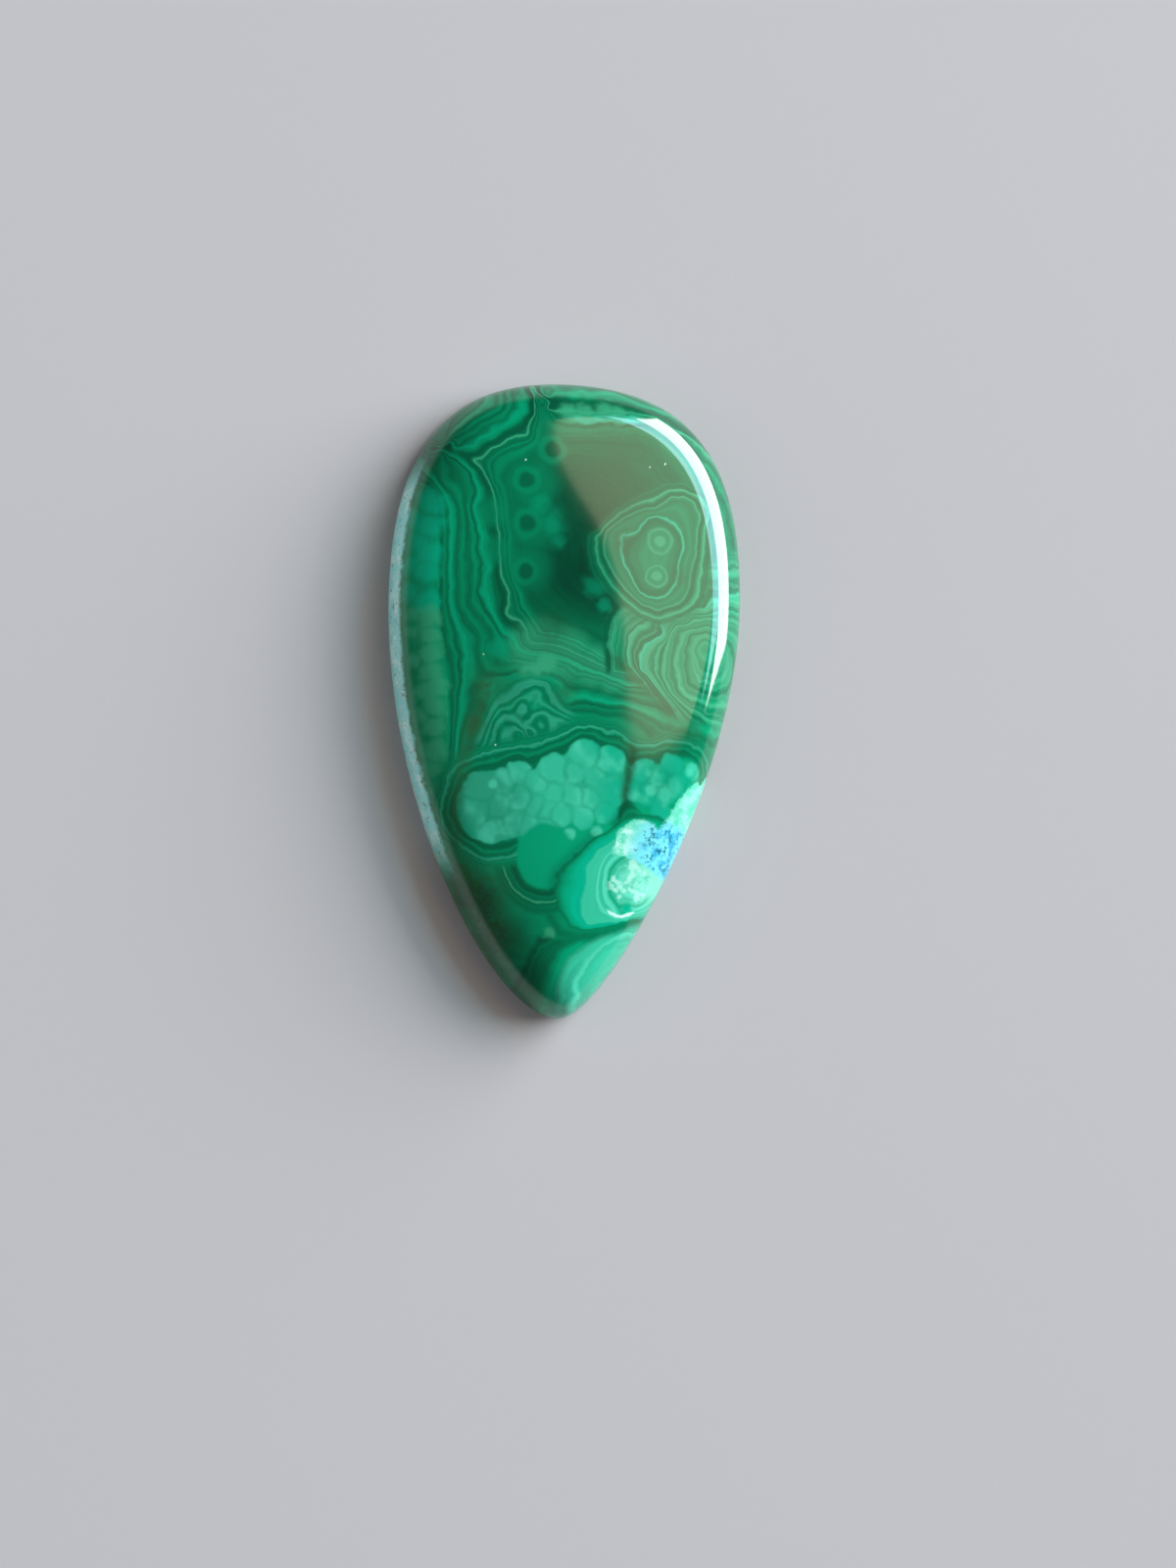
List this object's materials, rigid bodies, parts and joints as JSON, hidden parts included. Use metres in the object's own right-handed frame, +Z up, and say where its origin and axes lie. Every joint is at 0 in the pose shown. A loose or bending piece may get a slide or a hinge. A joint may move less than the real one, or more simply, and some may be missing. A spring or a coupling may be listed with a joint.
{
  "type": "polished malachite stone",
  "caption": "Polished banded malachite stone cut as a long drop, with a low domed top, a rounded shoulder, a thin bevelled girdle and a flat back.",
  "frame": {"origin": "middle of the flat back: the centre of the bounding box's base", "axes": "+Z up out of the domed top, +Y towards the drop's round end, so the point looks along -Y"},
  "size_m": [0.0282, 0.05, 0.0057],
  "materials": {
    "malachite": "high polish over banded malachite, dark to pale green, with a small pale blue-green chrysocolla patch"
  },
  "bodies": {
    "root": {"malachite_stone": "malachite"}
  },
  "joints": []
}
